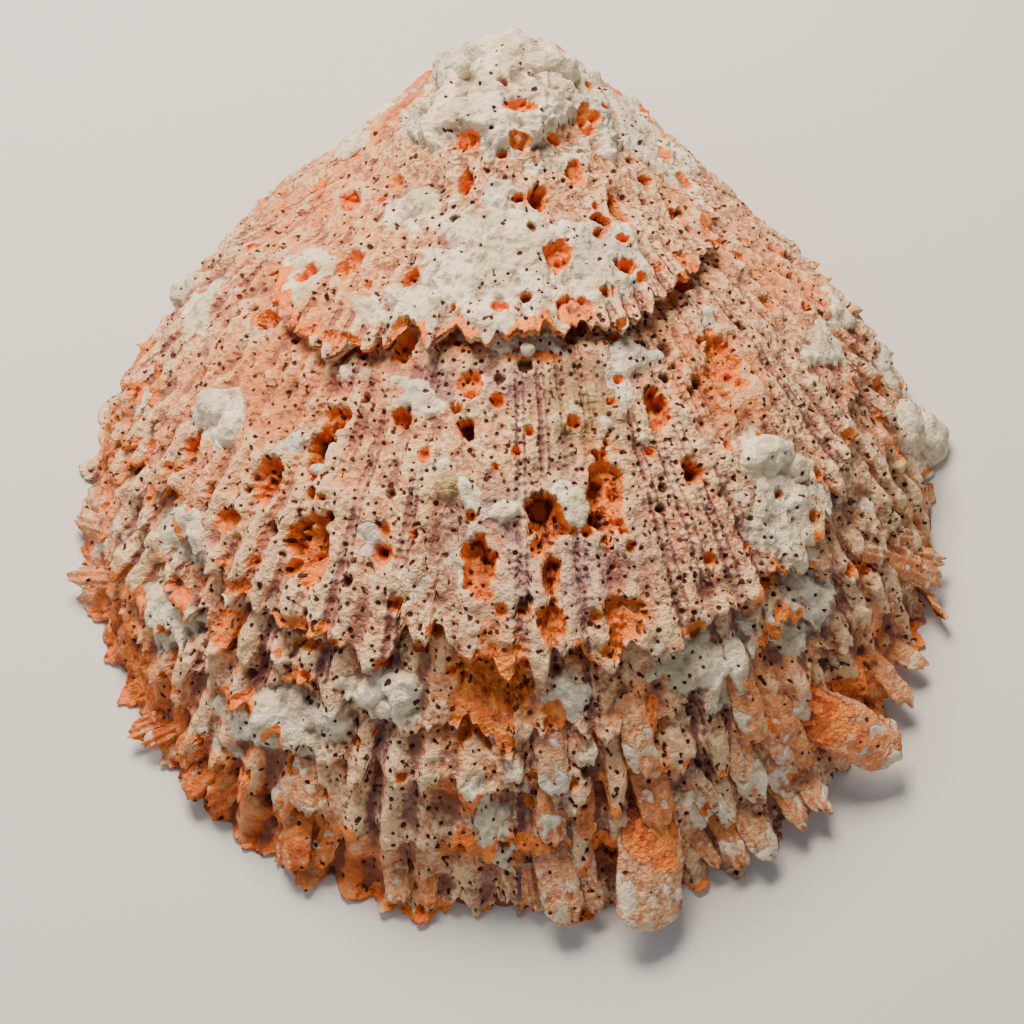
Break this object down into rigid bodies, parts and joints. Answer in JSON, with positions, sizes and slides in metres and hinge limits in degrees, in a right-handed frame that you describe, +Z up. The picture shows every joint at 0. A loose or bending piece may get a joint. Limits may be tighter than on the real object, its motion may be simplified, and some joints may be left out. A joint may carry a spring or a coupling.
{
  "type": "spiny oyster shell",
  "caption": "One domed valve of a spiny oyster, ribbed and frilled, bored by sponges and crusted with lime, open underneath.",
  "frame": {"origin": "centre of the valve's bounding box in plan, on the plane its margin rests on", "axes": "+Z up from the margin's plane to the dome's outside, +Y towards the beak and hinge, +X across the valve, to the right of a viewer who looks along +Y"},
  "size_m": [0.1325, 0.1488, 0.052],
  "materials": {
    "shell_lime": "chalky, matt, eroded"
  },
  "bodies": {
    "root": {"valve": "shell_lime"}
  },
  "joints": []
}
